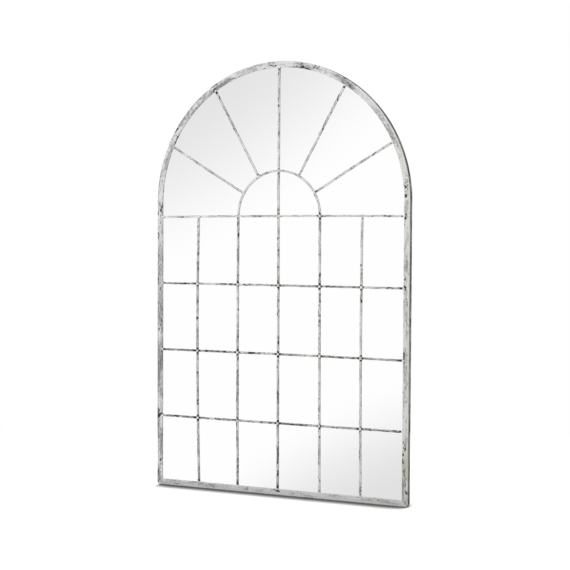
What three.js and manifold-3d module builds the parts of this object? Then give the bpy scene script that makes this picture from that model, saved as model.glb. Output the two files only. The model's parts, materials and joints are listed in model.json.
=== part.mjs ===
// Arched window mirror: a welded steel angle frame with flat glazing bars laid over one sheet of
// silvered glass, and a board, tabs and two swinging rings behind it to hang it by.
// Millimetres, +Z up, the front faces -Y. The origin is under the middle of the bottom rail.
import * as THREE from 'three';
import { mergeVertices } from 'three/addons/utils/BufferGeometryUtils.js';
import Module from 'manifold-3d';

const wasm = await Module();
wasm.setup();

// Frame: steel angle, mitred at the foot and rolled to a half round at the head
const frameWidth = 900;
const frameHeight = 1400;
const faceWidth = 20; // front flange of the angle
const frameDepth = 20; // side flange of the angle
const steelWall = 3; // both flanges
const footRadius = 10; // the two bottom corners, ground round on the outside

// Glazing bars: flat steel bar, laid flush in the frame's front
const barWidth = 7;
const barThickness = 3;
const columnPitch = 146;
const rowPitch = 223;
const fanDrop = 47; // transom below the springing of the arch
const fanRingRadius = columnPitch; // the ring's feet stand over the two inner uprights
const fanStepDegrees = 30; // from each spoke of the fan to the next
const fanSpokes = ['low_right', 'high_right', 'centre_upright', 'high_left', 'low_left'];

// Glass and the board behind it
const glassThickness = 3;
const boardThickness = 5;
const glassPlay = 1.5; // all round, inside the side flange
const boardPlay = 2.5;

// Bent tabs that hold the board in
const tabWidth = 14;
const tabThickness = 1.5;
const tabReach = 12; // over the board
const tabHeight = 7; // up the side flange
const lowTabHeight = 160; // lowest tab on each stile, above the foot
const tabBelowHanger = 100; // highest tab on each stile, below the hanging rings
const railTabInset = 200; // tabs on the bottom rail, in from the sides
const archTabDegrees = [25, 65, 115, 155];

// Hanging rings, their saddles and plates
const hangerDrop = 70; // below the springing of the arch
const plateReach = 44; // inwards from the side flange
const plateHeight = 24;
const plateThickness = 2.5;
const ringWire = 3.5;
const ringWidth = 24; // clear width inside the ring
const ringDrop = 20; // clear height inside the ring
const ringCorner = 4; // bend radius of the wire's centre line
const ringPlay = 0.4; // round the wire in its saddle
const saddleWidth = 10;
const saddleWall = 1.2;
const saddleFoot = 8; // each foot, flat on the plate

const fitGap = 0.3; // left between pieces that are cut or turned to meet
const archSteps = 96;
const ringSteps = 48;
const cornerSteps = 6;
const cutSpare = 5; // how far a cutting solid runs past what it cuts

// Worked out from the sizes above
const halfWidth = frameWidth / 2;
const springHeight = frameHeight - halfWidth;
const transomHeight = springHeight - fanDrop;
const hangerHeight = springHeight - hangerDrop;
const openHalf = halfWidth - faceWidth; // sight size, to the flange's inner edge
const sideInner = halfWidth - steelWall; // inner face of the side flange
const frontY = -frameDepth / 2;
const glassFront = frontY + steelWall;
const boardFront = glassFront + glassThickness;
const boardBack = boardFront + boardThickness;
const barBack = glassFront;
const barFront = barBack - barThickness;
const lapY = (barFront + barBack) / 2; // where crossing bars are halved into each other
const halfBar = barWidth / 2;
const crossHeights = {
  upper: transomHeight - rowPitch,
  middle: transomHeight - 2 * rowPitch,
  lower: transomHeight - 3 * rowPitch,
};
const uprightPlaces = {
  outer_left: -2 * columnPitch,
  inner_left: -columnPitch,
  centre: 0,
  inner_right: columnPitch,
  outer_right: 2 * columnPitch,
};

const agedWhite = { color: 0xc9c9c4, roughness: 0.72, metalness: 0.1 };
const silvered = { color: 0xf2f4f4, roughness: 0.03, metalness: 1 };
const fibreboard = { color: 0x8d6e4e, roughness: 0.85, metalness: 0 };
const zinc = { color: 0xa9adb0, roughness: 0.4, metalness: 0.9 };

// ---- shapes --------------------------------------------------------------------------------

const point = (x, z) => new THREE.Vector2(x, z);

function arc(x, z, radius, fromDeg, toDeg, steps) {
  const points = [];
  for (let i = 0; i <= steps; i += 1) {
    const angle = THREE.MathUtils.degToRad(fromDeg + ((toDeg - fromDeg) * i) / steps);
    points.push(point(x + radius * Math.cos(angle), z + radius * Math.sin(angle)));
  }
  return points;
}

// The frame's outline, moved in by an inset; a corner radius of 0 leaves the foot square
function archedOutline(inset, corner) {
  const half = halfWidth - inset;
  const head = arc(0, springHeight, half, 0, 180, archSteps);
  if (corner <= 0) return [point(half, inset), ...head, point(-half, inset)];
  const right = arc(half - corner, inset + corner, corner, -90, 0, cornerSteps);
  const left = arc(corner - half, inset + corner, corner, 180, 270, cornerSteps);
  return [...right, ...head, ...left];
}

function rectangle(x0, z0, x1, z1) {
  return [point(x0, z0), point(x1, z0), point(x1, z1), point(x0, z1)];
}

function closed(geometry) {
  geometry.deleteAttribute('normal');
  geometry.deleteAttribute('uv');
  return mergeVertices(geometry);
}

// A flat plate with this outline in X and Z, from one depth to another
function plate(outline, yFrom, yTo) {
  const shape = new THREE.Shape(outline);
  const geometry = new THREE.ExtrudeGeometry(shape, { depth: yTo - yFrom, bevelEnabled: false });
  geometry.rotateX(Math.PI / 2);
  geometry.translate(0, yTo, 0);
  return closed(geometry);
}

function solid(geometry) {
  const vertProperties = geometry.attributes.position.array;
  const triVerts = Uint32Array.from(geometry.index.array);
  return new wasm.Manifold(new wasm.Mesh({ numProp: 3, vertProperties, triVerts }));
}

const solidPlate = (outline, yFrom, yTo) => solid(plate(outline, yFrom, yTo));

function geometryOf(manifold) {
  const { vertProperties, triVerts } = manifold.getMesh();
  const geometry = new THREE.BufferGeometry();
  geometry.setAttribute('position', new THREE.BufferAttribute(vertProperties, 3));
  geometry.setIndex(new THREE.BufferAttribute(triVerts, 1));
  return geometry;
}

function piece(name, geometry, finish) {
  const material = new THREE.MeshStandardMaterial({ ...finish, flatShading: true });
  const mesh = new THREE.Mesh(geometry, material);
  mesh.name = name;
  return mesh;
}

// ---- frame ---------------------------------------------------------------------------------

function wholeFrame() {
  const outer = archedOutline(0, footRadius);
  const opening = archedOutline(faceWidth, 0);
  const hollow = archedOutline(steelWall, footRadius - steelWall);
  const backY = frameDepth / 2;
  return solidPlate(outer, frontY, backY)
    .subtract(solidPlate(opening, frontY - cutSpare, backY + cutSpare))
    .subtract(solidPlate(hollow, glassFront, backY + cutSpare));
}

// What lies on one piece's side of the two mitres and of the butt joints at the springing
function frameRegions() {
  const reach = faceWidth + cutSpare;
  const past = halfWidth + cutSpare;
  const mitreGap = (fitGap / 2) * Math.SQRT2; // along Z, on each side of the mitre
  const stile = (side) => [
    point(side * past, mitreGap - cutSpare),
    point(side * past, springHeight),
    point(side * (halfWidth - reach), springHeight),
    point(side * (halfWidth - reach), reach + mitreGap),
  ];
  return {
    arch_rail: rectangle(-past, springHeight, past, frameHeight + cutSpare),
    left_stile: stile(-1),
    right_stile: stile(1),
    bottom_rail: [
      point(-past, -mitreGap - cutSpare),
      point(past, -mitreGap - cutSpare),
      point(halfWidth - reach, reach - mitreGap),
      point(reach - halfWidth, reach - mitreGap),
    ],
  };
}

function frame() {
  const group = new THREE.Group();
  const whole = wholeFrame();
  for (const [name, region] of Object.entries(frameRegions())) {
    const cut = solidPlate(region, frontY - cutSpare, frameDepth / 2 + cutSpare);
    group.add(piece(name, geometryOf(whole.intersect(cut)), agedWhite));
  }
  return group;
}

// ---- glazing bars --------------------------------------------------------------------------

const bar = (x0, z0, x1, z1) => solidPlate(rectangle(x0, z0, x1, z1), barFront, barBack);
const uprightBar = (x, z0, z1) => bar(x - halfBar, z0, x + halfBar, z1);
const crossBar = (z) => bar(-openHalf, z - halfBar, openHalf, z + halfBar);

// Front or back half of a crossing, cut out of one bar to let the other through
const frontHalf = [barFront - cutSpare, lapY];
const backHalf = [lapY, barBack + cutSpare];

function lap(x, z, [yFrom, yTo]) {
  const reach = halfBar + fitGap;
  return solidPlate(rectangle(x - reach, z - reach, x + reach, z + reach), yFrom, yTo);
}

// What lies inside the arch's inner edge, less the fitting gap
function archOpening() {
  const outline = arc(0, springHeight, openHalf - fitGap, 0, 360, 2 * archSteps).slice(1);
  return solidPlate(outline, barFront - cutSpare, barBack + cutSpare);
}

function ringOutline(inner, outer, foot) {
  const startOuter = THREE.MathUtils.radToDeg(Math.asin(foot / outer));
  const startInner = THREE.MathUtils.radToDeg(Math.asin(foot / inner));
  return [
    ...arc(0, transomHeight, outer, startOuter, 180 - startOuter, ringSteps),
    ...arc(0, transomHeight, inner, 180 - startInner, startInner, ringSteps),
  ];
}

// The centre upright runs from the bottom rail to the crown, over the transom and the fan ring
function centreUpright() {
  const reach = halfBar + fitGap;
  const ringBand = ringOutline(fanRingRadius - reach, fanRingRadius + reach, halfBar);
  const sight = archOpening().add(bar(-openHalf, faceWidth, openHalf, springHeight));
  return uprightBar(0, faceWidth, frameHeight)
    .intersect(sight)
    .subtract(lap(0, transomHeight, backHalf))
    .subtract(solidPlate(ringBand, ...backHalf));
}

function uprights() {
  const group = new THREE.Group();
  for (const [name, x] of Object.entries(uprightPlaces)) {
    let upright = x === 0 ? centreUpright() : uprightBar(x, faceWidth, transomHeight - halfBar);
    for (const z of Object.values(crossHeights)) {
      upright = upright.subtract(lap(x, z, backHalf));
    }
    group.add(piece(`upright_${name}`, geometryOf(upright), agedWhite));
  }
  return group;
}

function crossBars() {
  const group = new THREE.Group();
  for (const [name, z] of Object.entries(crossHeights)) {
    let cross = crossBar(z);
    for (const x of Object.values(uprightPlaces)) {
      cross = cross.subtract(lap(x, z, frontHalf));
    }
    group.add(piece(`cross_bar_${name}`, geometryOf(cross), agedWhite));
  }
  const transom = crossBar(transomHeight).subtract(lap(0, transomHeight, frontHalf));
  group.add(piece('transom_bar', geometryOf(transom), agedWhite));
  return group;
}

function fan() {
  const group = new THREE.Group();
  const outer = fanRingRadius + halfBar;
  const inner = fanRingRadius - halfBar;
  const ring = solidPlate(ringOutline(inner, outer, halfBar), barFront, barBack);
  const crossing = lap(0, transomHeight + fanRingRadius, frontHalf);
  group.add(piece('fan_ring', geometryOf(ring.subtract(crossing)), agedWhite));

  const opening = archOpening();
  fanSpokes.forEach((name, i) => {
    if (name === 'centre_upright') return; // made with the uprights
    const spoke = plate(rectangle(outer + fitGap, -halfBar, frameHeight, halfBar), barFront, barBack);
    spoke.rotateY(-THREE.MathUtils.degToRad((i + 1) * fanStepDegrees));
    spoke.translate(0, 0, transomHeight);
    group.add(piece(`fan_bar_${name}`, geometryOf(solid(spoke).intersect(opening)), agedWhite));
  });
  return group;
}

// ---- glass and board -----------------------------------------------------------------------

function sheets() {
  const group = new THREE.Group();
  const glass = plate(archedOutline(steelWall + glassPlay, footRadius), glassFront, boardFront);
  group.add(piece('mirror_glass', glass, silvered));
  const board = plate(archedOutline(steelWall + boardPlay, footRadius), boardFront, boardBack);
  group.add(piece('backing_board', board, fibreboard));
  return group;
}

// An L-shaped tab: one leg up the side flange at x = 0, the other in over the board
function tabGeometry() {
  const profile = [
    point(0, 0),
    point(0, tabHeight),
    point(-tabThickness, tabHeight),
    point(-tabThickness, tabThickness),
    point(-tabReach, tabThickness),
    point(-tabReach, 0),
  ];
  const options = { depth: tabWidth, bevelEnabled: false };
  const geometry = new THREE.ExtrudeGeometry(new THREE.Shape(profile), options);
  geometry.translate(-fitGap, boardBack + fitGap, -tabWidth / 2);
  return closed(geometry);
}

function retainingTabs() {
  const places = [];
  const highTabHeight = hangerHeight - tabBelowHanger;
  for (const z of [lowTabHeight, (lowTabHeight + highTabHeight) / 2, highTabHeight]) {
    places.push({ x: sideInner, z, turn: 0 });
    places.push({ x: -sideInner, z, turn: 180 });
  }
  const railTabX = halfWidth - railTabInset;
  for (const x of [-railTabX, railTabX]) places.push({ x, z: steelWall, turn: -90 });
  for (const turn of archTabDegrees) {
    const seat = arc(0, springHeight, sideInner, turn, turn, 1)[0];
    places.push({ x: seat.x, z: seat.y, turn });
  }
  const group = new THREE.Group();
  places.forEach(({ x, z, turn }, i) => {
    const tab = piece(`retaining_tab_${i + 1}`, tabGeometry(), agedWhite);
    tab.position.set(x, 0, z);
    tab.rotation.y = -THREE.MathUtils.degToRad(turn);
    group.add(tab);
  });
  return group;
}

// ---- hanging rings -------------------------------------------------------------------------

const wireRadius = ringWire / 2;
const plateBack = boardBack + fitGap + plateThickness;
const wireY = plateBack + ringPlay + wireRadius; // the ring's axis, where it swings
const ringInset = plateReach / 2;

// The wire's centre line: a straight top in the saddle, straight sides and a round bottom
function ringPath() {
  const half = ringWidth / 2 + wireRadius;
  const bottom = -(wireRadius + ringDrop + wireRadius);
  const path = new THREE.Path();
  path.moveTo(0, 0);
  path.lineTo(ringCorner - half, 0);
  path.absarc(ringCorner - half, -ringCorner, ringCorner, Math.PI / 2, Math.PI, false);
  path.lineTo(-half, bottom + half);
  path.absarc(0, bottom + half, half, Math.PI, 2 * Math.PI, false);
  path.lineTo(half, -ringCorner);
  path.absarc(half - ringCorner, -ringCorner, ringCorner, 0, Math.PI / 2, false);
  path.lineTo(0, 0);
  return path;
}

class RingCurve extends THREE.Curve {
  constructor() {
    super();
    this.path = ringPath();
  }

  getPoint(t, target = new THREE.Vector3()) {
    const { x, y } = this.path.getPoint(t);
    return target.set(x, 0, y);
  }
}

function saddleGeometry() {
  const inner = wireRadius + ringPlay;
  const outer = inner + saddleWall;
  const end = outer + saddleFoot;
  const profile = [
    point(end, 0),
    point(end, saddleWall),
    point(outer, saddleWall),
    ...arc(0, inner, outer, 0, 180, 2 * cornerSteps),
    point(-outer, saddleWall),
    point(-end, saddleWall),
    point(-end, 0),
    point(-inner, 0),
    ...arc(0, inner, inner, 180, 0, 2 * cornerSteps),
    point(inner, 0),
  ];
  const options = { depth: saddleWidth, bevelEnabled: false };
  const geometry = new THREE.ExtrudeGeometry(new THREE.Shape(profile), options);
  geometry.rotateY(-Math.PI / 2);
  geometry.translate(saddleWidth / 2, 0, 0);
  return closed(geometry);
}

function hanger(name, side) {
  const group = new THREE.Group();
  group.position.set(side * (sideInner - ringInset), 0, hangerHeight);

  const box = closed(new THREE.BoxGeometry(plateReach, plateThickness, plateHeight));
  const hangerPlate = piece(`hanger_plate_${name}`, box, agedWhite);
  hangerPlate.position.y = plateBack - plateThickness / 2;

  const saddle = piece(`ring_saddle_${name}`, saddleGeometry(), zinc);
  saddle.position.y = plateBack;

  const tube = new THREE.TubeGeometry(new RingCurve(), ringSteps, wireRadius, 10, true);
  const ring = piece(`hanging_ring_${name}`, closed(tube), zinc);
  ring.position.y = wireY;

  group.add(hangerPlate, saddle, ring);
  return group;
}

const mirror = new THREE.Group();
mirror.add(frame(), uprights(), crossBars(), fan(), sheets(), retainingTabs());
mirror.add(hanger('left', -1), hanger('right', 1));

export default mirror;
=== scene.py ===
# Arched window mirror: a frame of steel angle and glazing bars in rubbed white paint, over silvered glass,
# with its board, tabs and hanging rings behind. Metres, +Z up, the glass faces -Y.
import json
import math
import random

import bmesh
import bpy
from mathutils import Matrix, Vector, kdtree, noise


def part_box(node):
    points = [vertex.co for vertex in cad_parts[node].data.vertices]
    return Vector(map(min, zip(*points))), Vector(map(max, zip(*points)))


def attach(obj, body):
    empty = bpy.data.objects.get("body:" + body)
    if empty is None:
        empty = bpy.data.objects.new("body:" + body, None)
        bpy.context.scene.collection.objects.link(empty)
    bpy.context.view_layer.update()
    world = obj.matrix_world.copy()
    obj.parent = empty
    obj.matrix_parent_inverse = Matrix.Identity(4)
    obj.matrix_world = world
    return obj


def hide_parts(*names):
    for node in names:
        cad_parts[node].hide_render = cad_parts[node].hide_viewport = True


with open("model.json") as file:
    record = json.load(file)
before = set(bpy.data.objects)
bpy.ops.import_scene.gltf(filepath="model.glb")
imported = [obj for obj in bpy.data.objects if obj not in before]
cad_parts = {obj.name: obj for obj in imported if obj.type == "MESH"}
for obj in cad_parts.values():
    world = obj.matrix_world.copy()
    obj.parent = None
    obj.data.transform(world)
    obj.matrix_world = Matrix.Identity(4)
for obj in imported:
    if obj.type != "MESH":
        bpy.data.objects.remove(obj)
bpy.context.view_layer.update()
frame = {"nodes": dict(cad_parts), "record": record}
print("frame loaded:", len(frame["nodes"]), "nodes")


def linearColor(hexCode):
    channels = [int(hexCode[i:i + 2], 16) / 255 for i in (1, 3, 5)]
    return [c / 12.92 if c <= 0.04045 else ((c + 0.055) / 1.055) ** 2.4 for c in channels] + [1.0]


def addNode(tree, kind, settings=None, inputs=None):
    node = tree.nodes.new(kind)
    for name, value in (settings or {}).items():
        setattr(node, name, value)
    for socket, value in (inputs or {}).items():
        if isinstance(value, bpy.types.NodeSocket):
            tree.links.new(value, node.inputs[socket])
        else:
            node.inputs[socket].default_value = value
    return node


def calculated(tree, operation, *values):
    return addNode(tree, "ShaderNodeMath", {"operation": operation}, dict(enumerate(values))).outputs[0]


def ranged(tree, value, start, end, low=0.0, high=1.0, kind="LINEAR"):
    return addNode(tree, "ShaderNodeMapRange", {"interpolation_type": kind}, {
        "Value": value, "From Min": start, "From Max": end, "To Min": low, "To Max": high,
    }).outputs["Result"]


def mixed(tree, share, first, second, kind="RGBA"):
    slot, out = {"FLOAT": (2, 0), "RGBA": (6, 2)}[kind]
    return addNode(tree, "ShaderNodeMix", {"data_type": kind}, {
        0: share, slot: first, slot + 1: second}).outputs[out]


# Noise whose marks are so many millimetres wide
def grained(tree, place, width, detail, roughness=0.5):
    return addNode(tree, "ShaderNodeTexNoise", inputs={
        "Vector": place, "Scale": 1000 / width, "Detail": detail, "Roughness": roughness}).outputs["Fac"]


def weighed(tree, start, field, shares):
    for cause, share in shares.items():
        start = calculated(tree, "MULTIPLY_ADD", field[cause], share, start)
    return start


def raised(tree, shader, height, strength, millimetres):
    bump = addNode(tree, "ShaderNodeBump", inputs={
        "Strength": strength, "Distance": millimetres / 1000, "Height": height})
    tree.links.new(bump.outputs["Normal"], shader.inputs["Normal"])


def newObject(name, data):
    made = bpy.data.objects.new(name, data)
    bpy.context.scene.collection.objects.link(made)
    return made


def newMaterial(name):
    material = bpy.data.materials.new(name)
    material.use_nodes = True
    return material, material.node_tree, material.node_tree.nodes["Principled BSDF"]


sharpFrom = math.radians(50)  # a swept or bent edge sharper than this stays crisp


def writeAttribute(mesh, name, kind, values):
    attribute = mesh.attributes.new(name, kind, "POINT")
    if kind == "FLOAT_VECTOR":
        attribute.data.foreach_set("vector", [part for value in values for part in value])
    else:
        attribute.data.foreach_set("value", values)


def smoothStep(low, high, value):
    t = min(max((value - low) / (high - low), 0.0), 1.0)
    return t * t * (3 - 2 * t)


def bodyOf(node):
    return next(body for body, nodes in frame["record"]["behaviour"]["bodies"].items() if node in nodes)


def finishPiece(piece, slotName, *nodes):
    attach(piece, bodyOf(nodes[0]))
    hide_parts(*nodes)


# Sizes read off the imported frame
def readSizes():
    stileLow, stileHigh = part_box("right_stile")
    glassLow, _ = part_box("mirror_glass")
    barLow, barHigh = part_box("upright_centre")
    _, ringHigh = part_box("fan_ring")
    face = stileHigh.x - stileLow.x
    barWidth = barHigh.x - barLow.x
    return {
        "half": stileHigh.x,
        "face": face,
        "openHalf": stileHigh.x - face,
        "front": stileLow.y,
        "back": stileHigh.y,
        "wall": glassLow.y - stileLow.y,
        "spring": stileHigh.z,
        "barWidth": barWidth,
        "barFront": barLow.y,
        "barBack": barHigh.y,
        "ringRadius": ringHigh.x - barWidth / 2,
    }


sizes = readSizes()


def middle(node):
    low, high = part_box(node)
    return (low + high) / 2


transomZ = middle("transom_bar").z
crossHeights = {side: middle(f"cross_bar_{side}").z for side in ("upper", "middle", "lower")}
uprightPlaces = {
    side: middle(f"upright_{side}").x
    for side in ("outer_left", "inner_left", "centre", "inner_right", "outer_right")
}
# drawn a little off the even angles, as the spokes were set by hand
spokeDegrees = {"low_right": 30.5, "high_right": 60.9, "high_left": 119.4, "low_left": 149.35}

cameraView = {
    "azimuth": 25.40,
    "elevation": 2.207,
    "roll": 0.288,
    "distance": 4.5207,
    "target": (0.0247, -0.010, 0.6823),
    "lens": 88.8,
    "sensor": 36.0,
}


def buildCamera():
    a = math.radians(cameraView["azimuth"])
    e = math.radians(cameraView["elevation"])
    back = Vector((math.sin(a) * math.cos(e), -math.cos(a) * math.cos(e), math.sin(e)))
    data = bpy.data.cameras.new("camera")
    data.lens = cameraView["lens"]
    data.sensor_width = cameraView["sensor"]
    camera = newObject("camera", data)
    camera.location = Vector(cameraView["target"]) + back * cameraView["distance"]
    turn = (-back).to_track_quat("-Z", "Y").to_matrix()
    roll = math.radians(cameraView["roll"])
    right, up = turn.col[0].copy(), turn.col[1].copy()
    turn.col[0] = right * math.cos(roll) + up * math.sin(roll)
    turn.col[1] = up * math.cos(roll) - right * math.sin(roll)
    camera.rotation_euler = turn.to_euler()
    bpy.context.scene.camera = camera


buildCamera()
print("camera placed")

studio = {
    "ambient": 0.50,  # how strongly the white room lights the object
    # two soft grey areas of the room, seen in the glass: azimuth and height of the middle, then the
    # angles at which the grey starts and is full, and how much it takes off the white
    "greyAreas": [
        {"azimuth": -42.0, "height": 24.4, "start": 28.6, "full": 22.2, "depth": 0.226},
        {"azimuth": -13.4, "height": -26.2, "start": 21.5, "full": 17.0, "depth": 0.244},
    ],
    "lamps": [
        {"name": "keyLamp", "place": (-0.9, -4.3, 2.4), "aim": (0.0, 0.0, 0.65), "size": 1.8, "power": 102},
        {"name": "backLamp", "place": (-1.4, 3.6, 2.6), "aim": (0.0, 0.0, 0.70), "size": 1.8, "power": 78},
    ],
}


def buildWorld():
    world = bpy.data.worlds.new("whiteRoom")
    world.use_nodes = True
    tree = world.node_tree
    tree.nodes.clear()
    rays = addNode(tree, "ShaderNodeLightPath")
    direction = addNode(tree, "ShaderNodeTexCoord").outputs["Generated"]
    white = 1.0
    for area in studio["greyAreas"]:
        a, h = math.radians(area["azimuth"]), math.radians(area["height"])
        axis = (math.sin(a) * math.cos(h), -math.cos(a) * math.cos(h), math.sin(h))
        near = addNode(tree, "ShaderNodeVectorMath", {"operation": "DOT_PRODUCT"}, {0: direction, 1: axis})
        start, full = [math.cos(math.radians(area[edge])) for edge in ("start", "full")]
        grey = ranged(tree, near.outputs["Value"], start, full, 1.0, 1.0 - area["depth"], "SMOOTHSTEP")
        white = calculated(tree, "MULTIPLY", white, grey)
    seen = calculated(tree, "MAXIMUM", rays.outputs["Is Camera Ray"], rays.outputs["Is Transmission Ray"])
    plain = mixed(tree, seen, studio["ambient"], 1.0, "FLOAT")
    strength = mixed(tree, rays.outputs["Is Glossy Ray"], plain, white, "FLOAT")
    background = addNode(tree, "ShaderNodeBackground", inputs={
        "Color": (1.0, 1.0, 1.0, 1.0), "Strength": strength})
    addNode(tree, "ShaderNodeOutputWorld", inputs={"Surface": background.outputs[0]})
    bpy.context.scene.world = world


def buildLamps():
    for lamp in studio["lamps"]:
        data = bpy.data.lights.new(lamp["name"], "AREA")
        data.shape = "DISK"
        data.size = lamp["size"]
        data.energy = lamp["power"]
        light = newObject(lamp["name"], data)
        light.location = lamp["place"]
        toAim = Vector(lamp["aim"]) - Vector(lamp["place"])
        light.rotation_euler = toAim.to_track_quat("-Z", "Y").to_euler()
        light.visible_glossy = False  # the glass shows the white room, not the lamps


floorLook = {
    "half": 9.0,
    "drop": 0.0004,  # below the foot, so that the two faces never share a plane
    "color": "#ececea",
    "glow": 0.62,  # white that only the camera sees, added to what the lamps give
    "contact": 0.095,  # nearer than this to the foot a contact shadow is painted on the floor
    "contactRays": 16,
    "endFrom": 0.438,  # and this painted shadow fades out round the two ends of the foot
    "endTo": 0.458,
    "shift": 0.005,  # the light comes from the left, so the painted shade is set a little to the right
    "shut": 0.60,  # how open the floor is where its painted shadow is darkest, and where it is white again
    "open": 1.00,
    "darkest": 0.10,
    "shadowReach": 0.9,  # beyond this the floor fades to the white of the room
    "fadeEnd": 1.9,
}


def buildFloor():
    half = floorLook["half"]
    mesh = bpy.data.meshes.new("floor")
    corners = [(-half, -half), (half, -half), (half, half), (-half, half)]
    mesh.from_pydata([(x, y, -floorLook["drop"]) for x, y in corners], [], [(0, 1, 2, 3)])
    floor = newObject("floor", mesh)
    material = bpy.data.materials.new("paleFloor")
    material.use_nodes = True
    tree = material.node_tree
    tree.nodes.clear()
    place = addNode(tree, "ShaderNodeTexCoord").outputs["Object"]
    distance = addNode(tree, "ShaderNodeVectorMath", {"operation": "LENGTH"}, {0: place}).outputs["Value"]
    fade = ranged(tree, distance, floorLook["shadowReach"], floorLook["fadeEnd"], kind="SMOOTHSTEP")
    byCamera = addNode(tree, "ShaderNodeLightPath").outputs["Is Camera Ray"]
    # A painted contact shadow: near the foot the floor's colour and its camera glow are darkened by how
    # closed in it is, and not past the foot's ends
    hollow = addNode(tree, "ShaderNodeAmbientOcclusion", {"samples": floorLook["contactRays"]},
                     {"Distance": floorLook["contact"]}).outputs["AO"]
    shade = ranged(tree, hollow, floorLook["shut"], floorLook["open"], floorLook["darkest"],
                   kind="SMOOTHSTEP")
    sideways = addNode(tree, "ShaderNodeSeparateXYZ", inputs={0: place}).outputs["X"]
    outward = calculated(tree, "ABSOLUTE", calculated(tree, "SUBTRACT", sideways, floorLook["shift"]))
    past = ranged(tree, outward, floorLook["endFrom"], floorLook["endTo"], kind="SMOOTHSTEP")
    openness = mixed(tree, past, shade, 1.0, "FLOAT")
    shadowedTint = mixed(tree, openness, (0.0, 0.0, 0.0, 1.0), linearColor(floorLook["color"]))
    lit = addNode(tree, "ShaderNodeBsdfDiffuse", inputs={"Color": shadowedTint})
    glow = calculated(tree, "MULTIPLY", calculated(tree, "MULTIPLY", byCamera, floorLook["glow"]), openness)
    added = addNode(tree, "ShaderNodeEmission", inputs={"Strength": glow})
    near = addNode(tree, "ShaderNodeAddShader", inputs={0: lit.outputs[0], 1: added.outputs[0]})
    white = addNode(tree, "ShaderNodeEmission", inputs={"Strength": 1.0})
    both = addNode(tree, "ShaderNodeMixShader", inputs={
        0: calculated(tree, "MULTIPLY", fade, byCamera), 1: near.outputs[0], 2: white.outputs[0]})
    addNode(tree, "ShaderNodeOutputMaterial", inputs={"Surface": both.outputs[0]})
    mesh.materials.append(material)
    floor.visible_glossy = False


buildWorld()
buildLamps()
buildFloor()
print("studio lit")

# White paint brushed on hot-rolled steel and rubbed back: a chalky coat that streaks along each bar,
# thins to grey in blotches, and is chipped to dark steel, most of all beside the welds
agedPaint = {
    "paint": "#dadada",
    "thinPaint": "#868686",
    "steel": "#20201e",
    "scale": "#484846",
    # across the bar in millimetres, how many times longer along it, detail and roughness
    "grain": {
        "streak": (2.6, 12.0, 3.0, 0.55),
        "mottle": (5.8, 1.7, 4.0, 0.65),
        "blotch": (24.0, 3.6, 2.0, 0.50),
        "chips": (6.5, 1.7, 3.0, 0.62),
        "group": (22.0, 3.0, 1.0, 0.50),
    },
    # how much each counts for a thick white coat, and the sums at which it is thin and thick
    # the rubbed field also carries painted shade on the outer flange and on the foot's lower edge
    "tone": {"blotch": 1.45, "streak": 0.6, "mottle": 1.4, "rubbedAndShaded": -0.35},
    "thinFrom": 1.43,
    "thickFrom": 1.89,
    "groupFrom": 0.42,  # chips come in groups, where the group grain rises past this
    "groupFull": 0.66,
    "chipCut": 0.778,
    "chipEdge": 0.05,
    # what brings the bare steel through, and what holds it back
    "wear": {"chips": 1.0, "group": 0.34, "joint": 0.30, "edge": 0.04, "rubbedAndShaded": 0.30,
             "coat": -0.45, "streak": -0.15},
    "scaleFrom": 0.45,  # mottle at which bare steel turns from dark to the grey of scale
    "scaleFull": 0.75,
    "metal": 0.5,  # how metallic bare steel looks through its scale
    "chalk": (0.3, 0.7, 0.66, 0.84),  # mottle from and to, and the roughness there
    "bareGloss": -0.16,  # how much less rough bare steel is
    # how far each raises the surface, and the millimetres of that at 1
    "relief": {"streak": 0.5, "mottle": 0.4, "bare": -1.0},
    "reliefStrength": 0.7,
    "paintDepth": 0.18,
}
# The thin bars were knocked about more than the frame, and a chip there runs right across
barPaint = {
    **agedPaint,
    "chipCut": 0.652,
    "chipEdge": 0.03,
    "grain": {
        "streak": (2.6, 8.0, 3.0, 0.55),
        "mottle": (6.5, 1.0, 4.0, 0.65),
        "blotch": (18.0, 2.6, 2.0, 0.50),
        "chips": (10.0, 1.15, 2.0, 0.50),
        "group": (16.0, 2.0, 1.0, 0.50),
    },
    "wear": {**agedPaint["wear"], "group": 0.20, "joint": 0.36},
}
# The same paint where it lies thick and whiter on the weld metal
weldPaint = {**agedPaint, "paint": "#e6e6e6", "thinPaint": "#b4b4b4", "chipCut": 0.88}
# an olive stain by the foot, and a faint cast of the same all up the right side
oliveStains = [
    {"place": (0.458, 0.006, 0.130), "full": 0.0, "reach": 0.090, "color": "#96966f", "strength": 0.50},
    {"place": (0.480, 0.000, 0.640), "full": 0.42, "reach": 0.76, "color": "#c9cb9f", "strength": 0.09},
]


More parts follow.
